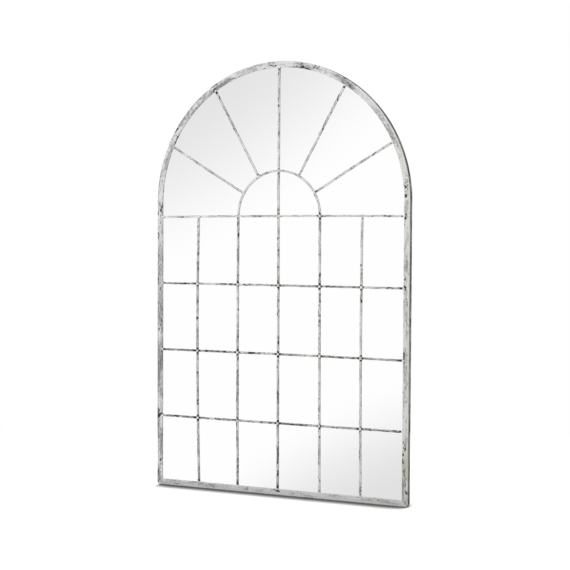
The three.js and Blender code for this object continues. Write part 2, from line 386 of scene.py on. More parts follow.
def agedWhiteSteel(name, look):
    material, tree, shader = newMaterial(name)
    along = addNode(tree, "ShaderNodeAttribute", {"attribute_name": "brushPlace"}).outputs["Vector"]
    field = {}
    for mark in ("joint", "edge", "rubbedAndShaded", "coat"):
        field[mark] = addNode(tree, "ShaderNodeAttribute", {"attribute_name": mark + "Wear"}).outputs["Fac"]
    for grain, (across, longer, detail, roughness) in look["grain"].items():
        drawn = addNode(tree, "ShaderNodeVectorMath", {"operation": "MULTIPLY"},
                        {0: along, 1: (1 / longer, 1.0, 1.0)})
        field[grain] = grained(tree, drawn.outputs[0], across, detail, roughness)
    field["group"] = ranged(tree, field["group"], look["groupFrom"], look["groupFull"])

    # the coat field carries paint and painted light: a painted highlight on the bend, the foot rail lifted
    # against its shade
    tone = weighed(tree, field["coat"], field, look["tone"])
    cover = ranged(tree, tone, look["thinFrom"], look["thickFrom"])
    color = mixed(tree, cover, linearColor(look["thinPaint"]), linearColor(look["paint"]))

    place = addNode(tree, "ShaderNodeTexCoord").outputs["Object"]
    for stain in oliveStains:
        away = addNode(tree, "ShaderNodeVectorMath", {"operation": "DISTANCE"},
                       {0: place, 1: stain["place"]}).outputs["Value"]
        share = ranged(tree, away, stain["full"], stain["reach"], stain["strength"], 0.0, "SMOOTHSTEP")
        color = mixed(tree, share, color, linearColor(stain["color"]))

    chipped = weighed(tree, 0.0, field, look["wear"])
    bare = ranged(tree, chipped, look["chipCut"], look["chipCut"] + look["chipEdge"])
    scaled = ranged(tree, field["mottle"], look["scaleFrom"], look["scaleFull"])
    steel = mixed(tree, scaled, linearColor(look["steel"]), linearColor(look["scale"]))
    tree.links.new(mixed(tree, bare, color, steel), shader.inputs["Base Color"])
    tree.links.new(calculated(tree, "MULTIPLY", bare, look["metal"]), shader.inputs["Metallic"])
    chalk = ranged(tree, field["mottle"], *look["chalk"])
    rough = calculated(tree, "MULTIPLY_ADD", bare, look["bareGloss"], chalk)
    tree.links.new(rough, shader.inputs["Roughness"])
    field["bare"] = bare
    height = weighed(tree, 0.0, field, look["relief"])
    raised(tree, shader, height, look["reliefStrength"], look["paintDepth"])
    return material


# Silvered float glass: a near perfect mirror, a touch of ripple left from the float bath
silveredGlass = {
    "silver": "#fefefe",
    "ripple": 380.0,  # millimetres, as its depth
    "rippleDepth": 0.010,
    "haze": (0.3, 0.7, 0.004, 0.02),  # ripple from and to, and the roughness there
}


def mirrorSilver():
    material, tree, shader = newMaterial("silveredFloatGlass")
    shader.inputs["Base Color"].default_value = linearColor(silveredGlass["silver"])
    shader.inputs["Metallic"].default_value = 1.0
    place = addNode(tree, "ShaderNodeTexCoord").outputs["Object"]
    ripple = grained(tree, place, silveredGlass["ripple"], 1.0)
    tree.links.new(ranged(tree, ripple, *silveredGlass["haze"]), shader.inputs["Roughness"])
    raised(tree, shader, ripple, 1.0, silveredGlass["rippleDepth"])
    return material


# Medium density fibreboard, sawn and unpainted: brown with a faint fleck of pressed fibres
fibreBoard = {
    "board": "#a08262",
    "dark": "#967859",
    "pale": "#b89c79",
    "cloud": 90.0,
    "fleck": 1.3,  # width of a bunch of fibres in millimetres, and its length
    "length": 4.5,
    "fleckGrain": (4.0, 0.7),  # detail and roughness
    # from and to, and what they give there
    "clouding": (0.35, 0.65),
    "fibres": (0.52, 0.78, 0.0, 0.6),
    "roughness": (0.0, 1.0, 0.78, 0.95),
    "relief": (0.4, 0.2),  # strength, and millimetres
}


def pressedFibreboard():
    material, tree, shader = newMaterial("pressedFibreboard")
    place = addNode(tree, "ShaderNodeTexCoord").outputs["Object"]
    laid = addNode(tree, "ShaderNodeVectorMath", {"operation": "MULTIPLY"},
                   {0: place, 1: (fibreBoard["fleck"] / fibreBoard["length"], 1.0, 1.0)})
    fleck = grained(tree, laid.outputs[0], fibreBoard["fleck"], *fibreBoard["fleckGrain"])
    cloud = ranged(tree, grained(tree, place, fibreBoard["cloud"], 3.0), *fibreBoard["clouding"])
    board, dark, pale = [linearColor(fibreBoard[shade]) for shade in ("board", "dark", "pale")]
    fibres = ranged(tree, fleck, *fibreBoard["fibres"])
    color = mixed(tree, fibres, mixed(tree, cloud, board, dark), pale)
    tree.links.new(color, shader.inputs["Base Color"])
    tree.links.new(ranged(tree, fleck, *fibreBoard["roughness"]), shader.inputs["Roughness"])
    raised(tree, shader, fleck, *fibreBoard["relief"])
    return material


# Bright zinc plate on bent wire and strip: pale grey metal with a soft, cloudy grain
zincPlate = {
    "zinc": "#b4b8bb",
    "dull": "#8f9497",
    "cloud": 6.0,
    "grain": 0.9,
    "roughness": (0.0, 1.0, 0.28, 0.48),  # cloud from and to, and the roughness there
    "relief": (0.25, 0.05),  # strength, and millimetres
}


def platedZinc():
    material, tree, shader = newMaterial("zincPlate")
    shader.inputs["Metallic"].default_value = 1.0
    place = addNode(tree, "ShaderNodeTexCoord").outputs["Object"]
    cloud = grained(tree, place, zincPlate["cloud"], 3.0)
    color = mixed(tree, cloud, linearColor(zincPlate["dull"]), linearColor(zincPlate["zinc"]))
    tree.links.new(color, shader.inputs["Base Color"])
    tree.links.new(ranged(tree, cloud, *zincPlate["roughness"]), shader.inputs["Roughness"])
    raised(tree, shader, grained(tree, place, zincPlate["grain"], 2.0), *zincPlate["relief"])
    return material


paintedSteel = agedWhiteSteel("rubbedWhitePaint", agedPaint)
paintedBar = agedWhiteSteel("rubbedBarPaint", barPaint)
paintedWeld = agedWhiteSteel("paintedWeld", weldPaint)
glassSilver = mirrorSilver()
boardFibre = pressedFibreboard()
platedWire = platedZinc()
print("materials made")

# The bars were cut, bent and welded by hand, so each strays a little from true
handwork = {
    # how far an upright is off to the right at its foot, half way and at the transom
    "uprights": {
        "outer_left": (0.0030, -0.0054, -0.0016),
        "inner_left": (0.0003, -0.0014, -0.0004),
        "centre": (0.0004, -0.0002, -0.0012),
        "inner_right": (0.0026, 0.0000, -0.0012),
        "outer_right": (-0.0022, -0.0040, -0.0022),
    },
    # how far a cross bar is off upwards at its left end, in the middle and at its right end
    "cross": {
        "transom": (-0.0022, 0.0007, 0.0006),
        "upper": (-0.0004, 0.0003, 0.0000),
        "middle": (0.0000, 0.0010, -0.0009),
        "lower": (0.0005, -0.0002, 0.0000),
    },
    "wander": 0.0005,  # what is left over, as a slow drift
    "wanderLength": 0.12,
    "wanderFrom": (3.1, 0.7, 5.3),  # where in the noise the drift is read
    "wanderSeed": 5,
    "pinned": 0.05,  # no straying where a bar meets the arch, full straying this far in
}


def insideDistance(point):
    side = sizes["openHalf"] - abs(point.x)
    foot = point.z - sizes["face"]
    if point.z <= sizes["spring"]:
        return min(side, foot)
    return sizes["openHalf"] - math.hypot(point.x, point.z - sizes["spring"])


# The curve through three values at the start, middle and end of a bar
def strayAlong(strays, share):
    start, centre, end = strays
    return (start * (1 - share) * (1 - 2 * share) + 4 * centre * share * (1 - share)
            + end * share * (2 * share - 1))


# How far the nearest two bars carry a place that lies between them
def strayBetween(bars, spot, share):
    for (lowSpot, lowStrays), (highSpot, highStrays) in zip(bars, bars[1:]):
        if spot <= highSpot:
            t = max(0.0, (spot - lowSpot) / (highSpot - lowSpot))
            return (1 - t) * strayAlong(lowStrays, share) + t * strayAlong(highStrays, share)
    return 0.0


def barsInOrder():
    still = (0.0, 0.0, 0.0)
    uprights = [(x, handwork["uprights"][side]) for side, x in uprightPlaces.items()]
    uprights += [(-sizes["openHalf"], still), (sizes["openHalf"], still)]
    heights = {"transom": transomZ, **crossHeights}
    cross = [(z, handwork["cross"][name]) for name, z in heights.items()]
    cross += [(sizes["face"], still), (sizes["spring"] + sizes["openHalf"], still)]
    return sorted(uprights), sorted(cross)


uprightStrays, crossStrays = barsInOrder()
noise.seed_set(handwork["wanderSeed"])  # without it the drift differs from run to run


def handBent(point):
    point = Vector(point)
    drift = noise.noise_vector(point / handwork["wanderLength"] + Vector(handwork["wanderFrom"]))
    inside = smoothStep(0.0, handwork["pinned"], insideDistance(point))
    drift = Vector((drift.x, 0.0, drift.z)) * handwork["wander"] * inside
    free = inside if point.z > sizes["spring"] else 1.0
    heightShare = min(max(point.z / transomZ, 0.0), 1.0)
    widthShare = min(max(0.5 + point.x / (2 * sizes["openHalf"]), 0.0), 1.0)
    drift.x += strayBetween(uprightStrays, point.x, heightShare) * free
    drift.z += strayBetween(crossStrays, point.z, widthShare) * free
    return point + drift


def onArch(degrees, radius):
    a = math.radians(degrees)
    return Vector((radius * math.cos(a), 0.0, sizes["spring"] + radius * math.sin(a)))


def spokeEnds(degrees):
    a = math.radians(degrees)
    run = Vector((math.cos(a), 0.0, math.sin(a)))
    hub = Vector((0.0, 0.0, transomZ))
    rise = sizes["spring"] - transomZ
    reach = rise * math.sin(a) + math.sqrt(sizes["openHalf"] ** 2 - (rise * math.cos(a)) ** 2)
    return hub + run * sizes["ringRadius"], hub + run * reach


def weldPlaces():
    heights = (transomZ, *crossHeights.values())
    crossings = [(x, z) for x in uprightPlaces.values() for z in heights]
    crossings.append((0.0, transomZ + sizes["ringRadius"]))
    seats = [(x, sizes["face"]) for x in uprightPlaces.values()]
    for z in heights:
        seats += [(-sizes["openHalf"], z), (sizes["openHalf"], z)]
    seats.append((0.0, sizes["spring"] + sizes["openHalf"]))
    for degrees in spokeDegrees.values():
        inner, outer = spokeEnds(degrees)
        crossings.append((inner.x, inner.z))
        seats.append((outer.x, outer.z))
    return [[handBent((x, sizes["front"], z)) for x, z in places] for places in (crossings, seats)]


crossings, seats = weldPlaces()
feet = [Vector((side * sizes["openHalf"], sizes["front"], sizes["face"])) for side in (-1, 1)]
jointTree = kdtree.KDTree(len(crossings) + len(seats) + len(feet))
for number, place in enumerate(crossings + seats + feet):
    jointTree.insert(place, number)
jointTree.balance()

# bare steel round each weld, from the bead outwards, more at some joints than at others
scorch = {"from": 0.0040, "full": 0.0055, "fade": 0.0080, "end": 0.0130, "least": 0.0,
          "mitre": 0.3, "seed": 108994}
jointLuck = random.Random(scorch["seed"])
jointMarks = [jointLuck.uniform(scorch["least"], 1.0) for _ in crossings + seats]
jointMarks += [scorch["mitre"] for _ in feet]


def markJoints(mesh):
    marks = []
    for vertex in mesh.vertices:
        _, number, away = jointTree.find(vertex.co)
        near = smoothStep(scorch["from"], scorch["full"], away)
        far = 1 - smoothStep(scorch["fade"], scorch["end"], away)
        marks.append(near * far * jointMarks[number])
    writeAttribute(mesh, "jointWear", "FLOAT", marks)


# For a small piece the brush marks run as the piece lies
def markBrush(mesh):
    writeAttribute(mesh, "brushPlace", "FLOAT_VECTOR", [tuple(vertex.co) for vertex in mesh.vertices])


angleSteel = {
    "outerEdge": 0.0028,  # the bend between the two flanges
    "sightEdge": 0.0007,
    "heel": 0.0010,
    "toe": 0.0009,
    "footRadius": 0.0100,
    "step": 0.005,
    "footStep": 0.0013,
    "footReach": 0.016,  # how far from a mitre the steps stay fine
    "acrossStep": 0.004,
    "dent": 0.00025,
    "dentLength": 0.017,
    "bareAndShadeHeight": 0.0012,  # the foot's lower edge is drawn dark up to here: bare paint and a painted shade under the foot
    "bareAndShadeFade": 0.0012,
    "sideRubAndShade": 0.68,  # how far the outer flange is darkened: rubbed-back paint and painted shade together
    "turnFrom": 0.0010,
    "turnTo": 0.0024,
    # how light each member's face is drawn at even steps from its start to its end, thicker paint and
    # painted light together, the foot rail lifted against its shade; and how much more on the bend between
    # its flanges, a painted highlight, worn back on the left, and along its edge by the glass
    "coats": {
        "footRail": {"face": (0.07, 0.09, 0.13, 0.17, 0.10), "bend": (0.28, 0.33, 0.43),
                     "byGlass": (-0.02, -0.04, 0.06)},
        "leftStile": {"face": (-0.05, -0.05, -0.10, -0.10, 0.05), "bend": (-0.25, -0.15, -0.06),
                      "byGlass": (0.0, -0.05, -0.03)},
        "rightStile": {"face": (-0.27, -0.01, 0.04, -0.03, 0.04), "bend": (0.28, 0.25, 0.34),
                       "byGlass": (0.16, 0.12, 0.02, 0.02, 0.08)},
        "archRail": {"face": (0.02, -0.02, -0.07, 0.13, 0.04, 0.06, 0.10),
                     "bend": (0.36, 0.30, 0.20, 0.15, -0.03, -0.19, -0.22),
                     "byGlass": (0.05, 0.02, -0.05, -0.10, -0.32, -0.16, 0.18)},
    },
    "glassEdge": 0.012,  # how far from the glass the paint begins to change
    "grainApart": 0.37,  # between the paint grains of one member and the next
}


# (inset, depth, edge) points round a section whose corners are all square
def roundedProfile(corners, spacing):
    points = []
    for i, (inset, depth, radius, steps) in enumerate(corners):
        here = Vector((inset, depth))
        before = Vector(corners[i - 1][:2])
        after = Vector(corners[(i + 1) % len(corners)][:2])
        toBefore, toAfter = (before - here).normalized(), (after - here).normalized()
        centre = here + (toBefore + toAfter) * radius
        for k in range(steps + 1):
            turn = math.pi / 2 * k / steps
            spot = centre - (toAfter * math.cos(turn) + toBefore * math.sin(turn)) * radius
            points.append((spot.x, spot.y, 1.0))
        start = here + toAfter * radius
        end = after - toAfter * corners[(i + 1) % len(corners)][2]
        cuts = max(1, round((end - start).length / spacing))
        for k in range(1, cuts):
            spot = start.lerp(end, k / cuts)
            points.append((spot.x, spot.y, 0.0))
    return points


def angleProfile():
    front, back, wall = sizes["front"], sizes["back"], sizes["wall"]
    corners = [  # inset, depth, radius and steps of each
        (0.0, front, angleSteel["outerEdge"], 6),
        (sizes["face"], front, angleSteel["sightEdge"], 3),
        (sizes["face"], front + wall, angleSteel["sightEdge"], 2),
        (wall, front + wall, angleSteel["heel"], 3),
        (wall, back, angleSteel["toe"], 3),
        (0.0, back, angleSteel["toe"], 3),
    ]
    return roundedProfile(corners, angleSteel["acrossStep"])


def footArc(inset):
    centre = max(angleSteel["footRadius"], inset)
    return centre, centre - inset


def railPath(inset, share):
    centre, radius = footArc(inset)
    bend = radius * math.pi / 4
    flat = 2 * (sizes["half"] - centre)
    run = share * (2 * bend + flat)
    if run < bend:
        a = math.radians(225) + run / radius
        return centre - sizes["half"] + radius * math.cos(a), centre + radius * math.sin(a)
    if run > bend + flat:
        a = math.radians(270) + (run - bend - flat) / radius
        return sizes["half"] - centre + radius * math.cos(a), centre + radius * math.sin(a)
    return centre - sizes["half"] + run - bend, inset


def stilePath(side):
    def path(inset, share):
        centre, radius = footArc(inset)
        bend = radius * math.pi / 4
        run = share * (bend + sizes["spring"] - centre)
        if run < bend:
            a = math.radians(-45) + run / radius
            return side * (sizes["half"] - centre + radius * math.cos(a)), centre + radius * math.sin(a)
        return side * (sizes["half"] - inset), centre + run - bend
    return path


def archPath(inset, share):
    spot = onArch(180 * share, sizes["half"] - inset)
    return spot.x, spot.z


# Shares of the length, closer together where the foot turns
def stations(length, startFoot, endFoot):
    runs = [0.0]
    while runs[-1] < length:
        atFoot = (startFoot and runs[-1] < angleSteel["footReach"]) or (
            endFoot and length - runs[-1] < angleSteel["footReach"])
        runs.append(runs[-1] + (angleSteel["footStep"] if atFoot else angleSteel["step"]))
    return [run / runs[-1] for run in runs]


# How dark a point of a member is drawn: the foot's lower edge and the turned outer flange, rubbed paint and
# painted shade together
def rubbedAndShadedAt(inset, depth, height):
    bare = 1 - smoothStep(angleSteel["bareAndShadeHeight"], angleSteel["bareAndShadeHeight"] + angleSteel["bareAndShadeFade"], height)
    if inset > sizes["wall"] / 2:
        return bare
    turned = smoothStep(angleSteel["turnFrom"], angleSteel["turnTo"], depth - sizes["front"])
    return max(bare, angleSteel["sideRubAndShade"] * turned)


# The value at a share of the way through evenly spaced values
def spread(values, share):
    spot = share * (len(values) - 1)
    i = min(int(spot), len(values) - 2)
    return values[i] + (values[i + 1] - values[i]) * (spot - i)


# How light a point of a member is drawn: paint and painted light on its face, a painted highlight on the bend
# (rubbed back where negative), and its edge by the glass
def coatAndLightAt(name, inset, depth, share):
    coats = angleSteel["coats"][name]
    thick = spread(coats["face"], share)
    bend = angleSteel["outerEdge"]
    if depth > sizes["front"] + bend / 2:
        return thick
    if 0.0 < inset < bend:
        return thick + spread(coats["bend"], share)
    start, end = [sizes["face"] - angleSteel[reach] for reach in ("glassEdge", "sightEdge")]
    return thick + spread(coats["byGlass"], share) * smoothStep(start, end, inset)


def sweptMember(name, path, length, startFoot, endFoot, seed):
    profile = angleProfile()
    shares = stations(length, startFoot, endFoot)
    work = bmesh.new()
    for share in shares:
        for inset, depth, _ in profile:
            x, z = path(inset, share)
            work.verts.new((x, depth, z))
    work.verts.ensure_lookup_table()
    around = len(profile)
    for i in range(len(shares) - 1):
        for k in range(around):
            here, there = i * around, (i + 1) * around
            after = (k + 1) % around
            work.faces.new([work.verts[n] for n in (here + k, here + after, there + after, there + k)])
    ends = [work.faces.new(work.verts[:around]), work.faces.new(work.verts[-around:])]
    bmesh.ops.recalc_face_normals(work, faces=work.faces)
    moves = []
    for vertex in work.verts:
        out = sum((face.normal for face in vertex.link_faces if face not in ends), Vector())
        depth = 0.5 + 0.5 * noise.noise(vertex.co / angleSteel["dentLength"])
        moves.append(-out.normalized() * depth * angleSteel["dent"])
    for vertex, move in zip(work.verts, moves):
        vertex.co += move
    for face in work.faces:
        face.smooth = face not in ends
    mesh = bpy.data.meshes.new(name)
    work.to_mesh(mesh)
    work.free()
    mesh.set_sharp_from_angle(angle=sharpFrom)

    acrossRun = [0.0]
    for (u0, y0, _), (u1, y1, _) in zip(profile, profile[1:]):
        acrossRun.append(acrossRun[-1] + math.hypot(u1 - u0, y1 - y0))
    brushed = [(share * length, run, seed) for share in shares for run in acrossRun]
    writeAttribute(mesh, "brushPlace", "FLOAT_VECTOR", brushed)
    writeAttribute(mesh, "edgeWear", "FLOAT", [edge for _, _, edge in profile] * len(shares))
    # rubbed paint and painted shade on the outer flange and the foot's lower edge
    rubbedAndShaded = [rubbedAndShadedAt(inset, depth, path(inset, share)[1])
              for share in shares for inset, depth, _ in profile]
    writeAttribute(mesh, "rubbedAndShadedWear", "FLOAT", rubbedAndShaded)
    # paint and painted light: the painted highlight on the bend, and the foot rail lifted against its shade
    coat = [coatAndLightAt(name, inset, depth, share) for share in shares for inset, depth, _ in profile]
    writeAttribute(mesh, "coatWear", "FLOAT", coat)
    markJoints(mesh)
    mesh.materials.append(paintedSteel)
    return mesh


def buildFrame():
    stileLength = sizes["spring"]
    members = [
        ("bottom_rail", "footRail", railPath, 2 * sizes["half"], True, True),
        ("left_stile", "leftStile", stilePath(-1), stileLength, True, False),
        ("right_stile", "rightStile", stilePath(1), stileLength, True, False),
        ("arch_rail", "archRail", archPath, math.pi * sizes["half"], False, False),
    ]
    for number, (node, name, path, length, startFoot, endFoot) in enumerate(members):
        mesh = sweptMember(name, path, length, startFoot, endFoot, number * angleSteel["grainApart"])
        finishPiece(newObject(name, mesh), "aged_white_steel", node)


buildFrame()
print("frame swept")


def newTree(name, wanted):
    tree = bpy.data.node_groups.new(name, "GeometryNodeTree")
    tree.interface.new_socket("Geometry", in_out="INPUT", socket_type="NodeSocketGeometry")
    for label, kind in wanted.items():
        tree.interface.new_socket(label, in_out="INPUT", socket_type="NodeSocket" + kind)
    tree.interface.new_socket("Geometry", in_out="OUTPUT", socket_type="NodeSocketGeometry")
    return tree, addNode(tree, "NodeGroupInput")


def stored(tree, geometry, name, value, kind="FLOAT"):
    return addNode(tree, "GeometryNodeStoreNamedAttribute", {"data_type": kind, "domain": "POINT"},
                   {"Geometry": geometry, "Name": name, "Value": value}).outputs[0]


def named(tree, name, kind="FLOAT"):
    return addNode(tree, "GeometryNodeInputNamedAttribute", {"data_type": kind}, {"Name": name}).outputs[0]


def filleted(tree, curve, count, radius):
    return addNode(tree, "GeometryNodeFilletCurve", {"mode": "POLY"},
                   {"Curve": curve, "Count": count, "Radius": radius}).outputs[0]


# Pushes a surface in and out along its normal by a fixed noise
def roughened(tree, geometry, given):
    place = addNode(tree, "GeometryNodeInputPosition").outputs[0]
    normal = addNode(tree, "GeometryNodeInputNormal").outputs["Normal"]
    scale = calculated(tree, "DIVIDE", 1.0, given.outputs["Dent Length"])
    field = addNode(tree, "ShaderNodeTexNoise", {"noise_dimensions": "4D"}, {
        "Vector": place, "W": given.outputs["Seed"], "Scale": scale, "Detail": 1.0}).outputs["Fac"]
    depth = calculated(tree, "MULTIPLY", calculated(tree, "SUBTRACT", field, 0.5), given.outputs["Dent"])
    offset = addNode(tree, "ShaderNodeVectorMath", {"operation": "SCALE"}, {0: normal, "Scale": depth})
    return addNode(tree, "GeometryNodeSetPosition",
                   inputs={"Geometry": geometry, "Offset": offset.outputs[0]})


def finishTree(tree, geometry, given):
    smooth = addNode(tree, "GeometryNodeSetShadeSmooth", inputs={"Geometry": geometry})
    real = addNode(tree, "GeometryNodeRealizeInstances", inputs={"Geometry": smooth.outputs[0]})
    coated = addNode(tree, "GeometryNodeSetMaterial", inputs={
        "Geometry": real.outputs[0], "Material": given.outputs["Material"]})
    addNode(tree, "NodeGroupOutput", inputs={0: coated.outputs[0]})
    return tree


def applyTree(piece, tree, values):
    modifier = piece.modifiers.new(tree.name, "NODES")
    modifier.node_group = tree
    for socket in tree.interface.items_tree:
        if socket.in_out == "INPUT" and socket.name in values:
            modifier[socket.identifier] = values[socket.name]
    evaluated = piece.evaluated_get(bpy.context.evaluated_depsgraph_get())
    mesh = bpy.data.meshes.new_from_object(evaluated)
    piece.modifiers.clear()
    piece.data = mesh
    mesh.set_sharp_from_angle(angle=sharpFrom)


glazingBar = {
    "edge": 0.0009,
    "edgeSteps": 3,
    "wornFrom": 0.12,  # the edges wear from here on: a section's corners lie at 0.25, its middle at 0
    "wornFull": 0.20,
    "step": 0.0026,
    "pathStep": 0.006,
    "dent": 0.00045,
    "dentLength": 0.011,
    "setBack": 0.00025,  # cross bars, ring and spokes sit this far behind the uprights
    "bite": 0.0005,  # how far an end runs into what it is welded to
    # how much lighter or darker each bar is drawn
    "coats": {
        "upright_outer_left": -0.05, "upright_inner_left": -0.05, "upright_centre": -0.05,
        "upright_inner_right": 0.00, "upright_outer_right": 0.08,
        "cross_bar_upper": -0.08, "cross_bar_middle": -0.17, "cross_bar_lower": -0.12,
        "transom_bar": 0.05, "fan_ring": 0.03, "fan_bar_low_right": 0.03, "fan_bar_high_right": -0.01,
        "fan_bar_high_left": -0.01, "fan_bar_low_left": 0.03,
    },
    "fanCoat": 0.05,  # how much more paint is left from the transom up
    "fanFrom": 0.03,  # from this far below the transom
    "grainApart": 1.7,  # between the grains and dents of one bar and the next
}


# A flat bar with eased edges along the object's line, its flat side to the front
def forgedBarTree():
    tree, given = newTree("forgedBar", {
        "Width": "Float", "Thickness": "Float", "Edge": "Float", "Step": "Float",
        "Dent": "Float", "Dent Length": "Float", "Seed": "Float", "Material": "Material"})
    line = addNode(tree, "GeometryNodeMeshToCurve", inputs={"Mesh": given.outputs["Geometry"]})
    even = addNode(tree, "GeometryNodeResampleCurve", {"mode": "LENGTH"},
                   {"Curve": line.outputs[0], "Length": given.outputs["Step"]})
    facing = addNode(tree, "GeometryNodeSetCurveNormal", {"mode": "FREE"},
                     {"Curve": even.outputs[0], "Normal": (0.0, -1.0, 0.0)})
    run = addNode(tree, "GeometryNodeSplineParameter").outputs["Length"]
    along = stored(tree, facing.outputs[0], "alongBar", run)
    section = addNode(tree, "GeometryNodeCurvePrimitiveQuadrilateral", inputs={
        "Width": given.outputs["Thickness"], "Height": given.outputs["Width"]})
    eased = filleted(tree, section.outputs[0], glazingBar["edgeSteps"], given.outputs["Edge"])
    place = addNode(tree, "GeometryNodeInputPosition").outputs[0]
    spot = addNode(tree, "ShaderNodeSeparateXYZ", inputs={0: place})
    corner = calculated(tree, "ABSOLUTE", calculated(tree, "MULTIPLY", spot.outputs[0], spot.outputs[1]))
    quarter = calculated(tree, "MULTIPLY", given.outputs["Width"], given.outputs["Thickness"])
    edge = calculated(tree, "DIVIDE", corner, quarter)
    worn = ranged(tree, edge, glazingBar["wornFrom"], glazingBar["wornFull"])
    across = stored(tree, stored(tree, eased, "edgeWear", worn), "acrossBar", run)
    swept = addNode(tree, "GeometryNodeCurveToMesh", inputs={
        "Curve": along, "Profile Curve": across, "Fill Caps": True})
    brush = addNode(tree, "ShaderNodeCombineXYZ", inputs={
        "X": named(tree, "alongBar"), "Y": named(tree, "acrossBar"), "Z": given.outputs["Seed"]})
    placed = stored(tree, swept.outputs[0], "brushPlace", brush.outputs[0], "FLOAT_VECTOR")
    rough = roughened(tree, placed, given)
    return finishTree(tree, rough.outputs[0], given)


def lineOf(start, end):
    steps = max(2, round((end - start).length / glazingBar["pathStep"]))
    return [start.lerp(end, i / steps) for i in range(steps + 1)]


def glazingLines():
    half, bite = sizes["barWidth"] / 2, glazingBar["bite"]
    foot, side = sizes["face"] - bite, sizes["openHalf"] + bite
    lines = []
    for name, x in uprightPlaces.items():
        top = transomZ - half + bite if x else sizes["spring"] + side
        lines.append((f"upright_{name}", True, lineOf(Vector((x, 0, foot)), Vector((x, 0, top)))))
    heights = {"transom_bar": transomZ, **{f"cross_bar_{name}": z for name, z in crossHeights.items()}}
    for name, z in heights.items():
        lines.append((name, False, lineOf(Vector((-side, 0, z)), Vector((side, 0, z)))))
    radius = sizes["ringRadius"]
    start = math.asin((half - bite) / radius)
    steps = round(math.pi * radius / glazingBar["pathStep"])
    turns = [start + (math.pi - 2 * start) * i / steps for i in range(steps + 1)]
    ring = [Vector((radius * math.cos(a), 0, transomZ + radius * math.sin(a))) for a in turns]
    lines.append(("fan_ring", False, ring))
    for name, degrees in spokeDegrees.items():
        inner, outer = spokeEnds(degrees)
        run = (outer - inner).normalized()
        lines.append((f"fan_bar_{name}", False, lineOf(inner + run * (half - bite), outer + run * bite)))
    return lines


def camelName(node):
    first, *others = node.split("_")
    return first + "".join(word.capitalize() for word in others)


def buildGlazing():
    tree = forgedBarTree()
    for number, (node, forward, line) in enumerate(glazingLines()):
        thickness = sizes["barBack"] - sizes["barFront"] - glazingBar["setBack"]
        y = sizes["barFront"] + thickness / 2 + (0 if forward else glazingBar["setBack"])
        mesh = bpy.data.meshes.new(node)
        points = [handBent((spot.x, y, spot.z)) for spot in line]
        mesh.from_pydata(points, [(i, i + 1) for i in range(len(points) - 1)], [])
        bar = newObject(camelName(node), mesh)
        applyTree(bar, tree, {
            "Width": sizes["barWidth"], "Thickness": thickness, "Edge": glazingBar["edge"],
            "Step": glazingBar["step"], "Dent": glazingBar["dent"], "Dent Length": glazingBar["dentLength"],
            "Seed": glazingBar["grainApart"] * number, "Material": paintedBar})
        coat = glazingBar["coats"][node]
        fanFoot = transomZ - glazingBar["fanFrom"]
        thicker = [glazingBar["fanCoat"] * smoothStep(fanFoot, transomZ, vertex.co.z)
                   for vertex in bar.data.vertices]
        writeAttribute(bar.data, "coatWear", "FLOAT", [coat + extra for extra in thicker])
        markJoints(bar.data)
        finishPiece(bar, "aged_white_steel", node)


buildGlazing()
print("glazing bars forged")

weldMetal = {
    "crossing": (0.0045, 0.0009, 0.0045),  # half width, rise and half height of a bead
    "seat": (0.0040, 0.0008, 0.0040),
    "stitch": (0.0019, 0.0013, 0.0019),
    "stitchPitch": 0.0026,
    "stitchInset": 0.002,  # from the plate's top and foot
    "divisions": 4,  # of the ball that each bead starts from
    "sink": 0.0004,  # how far a bead's middle lies behind the front faces
    "dent": 0.0006,
    "dentLength": 0.0042,
    "seed": 4.0,
}


# A lumpy bead on each point, sized by the point's own attribute
def weldBeadTree():
    tree, given = newTree("weldBead", {
        "Dent": "Float", "Dent Length": "Float", "Seed": "Float", "Material": "Material"})
    spots = addNode(tree, "GeometryNodeMeshToPoints", inputs={"Mesh": given.outputs["Geometry"]})
    bead = addNode(tree, "GeometryNodeMeshIcoSphere", inputs={
        "Radius": 1.0, "Subdivisions": weldMetal["divisions"]})
    size = named(tree, "beadSize", "FLOAT_VECTOR")
    beads = addNode(tree, "GeometryNodeInstanceOnPoints", inputs={
        "Points": spots.outputs[0], "Instance": bead.outputs["Mesh"], "Scale": size})
    real = addNode(tree, "GeometryNodeRealizeInstances", inputs={"Geometry": beads.outputs[0]})
    rough = roughened(tree, real.outputs[0], given)
    return finishTree(tree, rough.outputs[0], given)


def stitches(start, end):
    count = max(2, round((end - start).length / weldMetal["stitchPitch"]))
    return [start.lerp(end, i / count) for i in range(count + 1)]


def buildWelds():
    sunk = Vector((0, weldMetal["sink"], 0))
    beads = [(spot + sunk, weldMetal["crossing"]) for spot in crossings]
    beads += [(spot + sunk, weldMetal["seat"]) for spot in seats]
    for side in ("left", "right"):
        low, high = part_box(f"hanger_plate_{side}")
        edgeX = low.x if side == "left" else high.x
        start = Vector((edgeX, high.y, low.z + weldMetal["stitchInset"]))
        end = Vector((edgeX, high.y, high.z - weldMetal["stitchInset"]))
        beads += [(spot, weldMetal["stitch"]) for spot in stitches(start, end)]
    mesh = bpy.data.meshes.new("welds")
    mesh.from_pydata([spot for spot, _ in beads], [], [])
    writeAttribute(mesh, "beadSize", "FLOAT_VECTOR", [size for _, size in beads])
    welds = newObject("weldBeads", mesh)
    applyTree(welds, weldBeadTree(), {
        "Dent": weldMetal["dent"], "Dent Length": weldMetal["dentLength"], "Seed": weldMetal["seed"],
        "Material": paintedWeld})
    markBrush(welds.data)
    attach(welds, "frame")


buildWelds()
print("welds laid")

retainingTab = {
    "thickness": 0.0015,
    "bend": 0.0012,
    "bendSteps": 5,
    "corner": 0.0005,
    "cornerSteps": 2,
    "count": 12,
}


